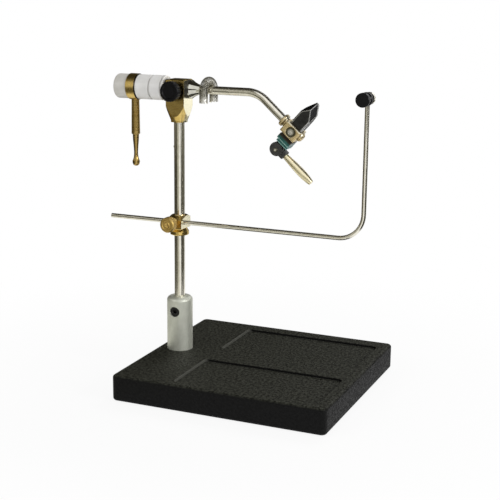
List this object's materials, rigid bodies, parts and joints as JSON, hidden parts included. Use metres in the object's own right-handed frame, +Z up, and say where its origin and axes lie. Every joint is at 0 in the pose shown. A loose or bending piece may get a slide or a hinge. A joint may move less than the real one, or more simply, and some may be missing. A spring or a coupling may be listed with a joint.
{
  "type": "fly tying vise",
  "caption": "Rotary fly tying vise on a black tray base: a stem with a brass head and cranked shaft, cam-closed jaws on a bent arm, and a sliding thread cradle.",
  "frame": {"origin": "middle of the underside, on the surface that the base stands on", "axes": "+X from the stem towards the jaws, +Y to the back, +Z up along the stem"},
  "size_m": [0.2485, 0.19, 0.2759],
  "materials": {
    "black_coat": "matte",
    "pad_rubber": "matte",
    "satin_grey": "satin",
    "black_steel": "satin",
    "polished_steel": "polished",
    "spring_steel": "satin",
    "jaw_steel": "satin",
    "brass": "satin",
    "white_plastic": "satin",
    "black_plastic": "satin",
    "teal_metal": "satin"
  },
  "bodies": {
    "base": {"base_plate": "black_coat", "base_pad": "pad_rubber", "stem_socket": "satin_grey", "socket_bolt": "black_steel"},
    "socket_screw": {"socket_screw": "black_steel"},
    "stem": {"stem": "polished_steel", "stem_pin": "polished_steel", "head_block": "brass", "head_set_screw": "black_steel", "left_bushing": "black_plastic", "right_bushing": "black_plastic", "brake_pad": "black_plastic"},
    "tension_knob": {"tension_knob": "black_plastic", "tension_screw": "polished_steel"},
    "rotor": {"rotary_shaft": "polished_steel", "rotor_sleeve": "white_plastic", "crank_ring": "brass", "crank_arm": "brass", "crank_grip": "brass", "end_cap": "white_plastic", "end_screw": "black_steel", "jaw_arm": "polished_steel", "material_spring": "spring_steel", "jaw_holder": "brass", "cam_seat": "teal_metal"},
    "jaw_screw": {"jaw_screw": "polished_steel"},
    "draw_bar": {"draw_bar": "polished_steel", "cam_pin": "polished_steel"},
    "cam_lever": {"cam": "black_plastic", "cam_handle": "brass"},
    "front_jaw": {"front_jaw": "jaw_steel"},
    "rear_jaw": {"rear_jaw": "jaw_steel"},
    "collar": {"stop_collar": "brass", "collar_set_screw": "black_steel"},
    "clamp": {"cradle_clamp": "brass"},
    "clamp_knob": {"clamp_thumbscrew": "brass"},
    "cradle": {"cradle_rod": "polished_steel"},
    "spool": {"cradle_spool": "black_plastic", "spool_screw": "polished_steel"}
  },
  "joints": [
    {"name": "stem_height", "type": "slide", "parent": "base", "child": "stem", "axis": [0, 0, 1], "range_m": [0, 0.025]},
    {"name": "socket_screw_turn", "type": "hinge", "parent": "base", "child": "socket_screw", "pos_m": [-0.079, 0, 0.0611], "axis": [0, -1, 0], "range_deg": [0, 360]},
    {"name": "rotor_spin", "type": "hinge", "parent": "stem", "child": "rotor", "pos_m": [-0.079, 0, 0.2642], "axis": [1, 0, 0], "continuous": true},
    {"name": "tension_knob_turn", "type": "hinge", "parent": "stem", "child": "tension_knob", "pos_m": [-0.079, 0, 0.263], "axis": [0, -1, 0], "range_deg": [0, 360]},
    {"name": "jaw_screw_turn", "type": "hinge", "parent": "rotor", "child": "jaw_screw", "pos_m": [0.03027, 0, 0.23285], "axis": [0, -1, 0], "range_deg": [0, 180]},
    {"name": "draw_slide", "type": "slide", "parent": "rotor", "child": "draw_bar", "axis": [0.6691, 0, 0.7431], "range_m": [0, 0.00096]},
    {"name": "cam_lever_turn", "type": "hinge", "parent": "draw_bar", "child": "cam_lever", "pos_m": [0.01548, 0, 0.21643], "axis": [0, 1, 0], "range_deg": [0, 90]},
    {"name": "front_jaw_tilt", "type": "hinge", "parent": "rotor", "child": "front_jaw", "pos_m": [0.03027, 0, 0.23285], "axis": [0.7431, 0, -0.6691], "range_deg": [0, 1.65]},
    {"name": "rear_jaw_tilt", "type": "hinge", "parent": "rotor", "child": "rear_jaw", "pos_m": [0.03027, 0, 0.23285], "axis": [0.7431, 0, -0.6691], "range_deg": [-1.65, 0]},
    {"name": "collar_height", "type": "slide", "parent": "stem", "child": "collar", "axis": [0, 0, 1], "range_m": [-0.045, 0.03]},
    {"name": "cradle_swing", "type": "hinge", "parent": "collar", "child": "clamp", "pos_m": [-0.079, 0, 0.1452], "axis": [0, 0, 1], "continuous": true},
    {"name": "clamp_knob_turn", "type": "hinge", "parent": "clamp", "child": "clamp_knob", "pos_m": [-0.079, 0, 0.1452], "axis": [0, -1, 0], "range_deg": [0, 360]},
    {"name": "rod_slide", "type": "slide", "parent": "clamp", "child": "cradle", "axis": [1, 0, 0], "range_m": [-0.025, 0.05]},
    {"name": "spool_spin", "type": "hinge", "parent": "cradle", "child": "spool", "pos_m": [0.0975, 0, 0.2645], "axis": [0, -1, 0], "continuous": true}
  ],
  "couplings": [
    {"joint": "draw_slide", "follows": "cam_lever_turn", "m_per_rad": 0.00060479},
    {"joint": "front_jaw_tilt", "follows": "cam_lever_turn", "ratio": 0.017778},
    {"joint": "rear_jaw_tilt", "follows": "cam_lever_turn", "ratio": -0.017778}
  ]
}
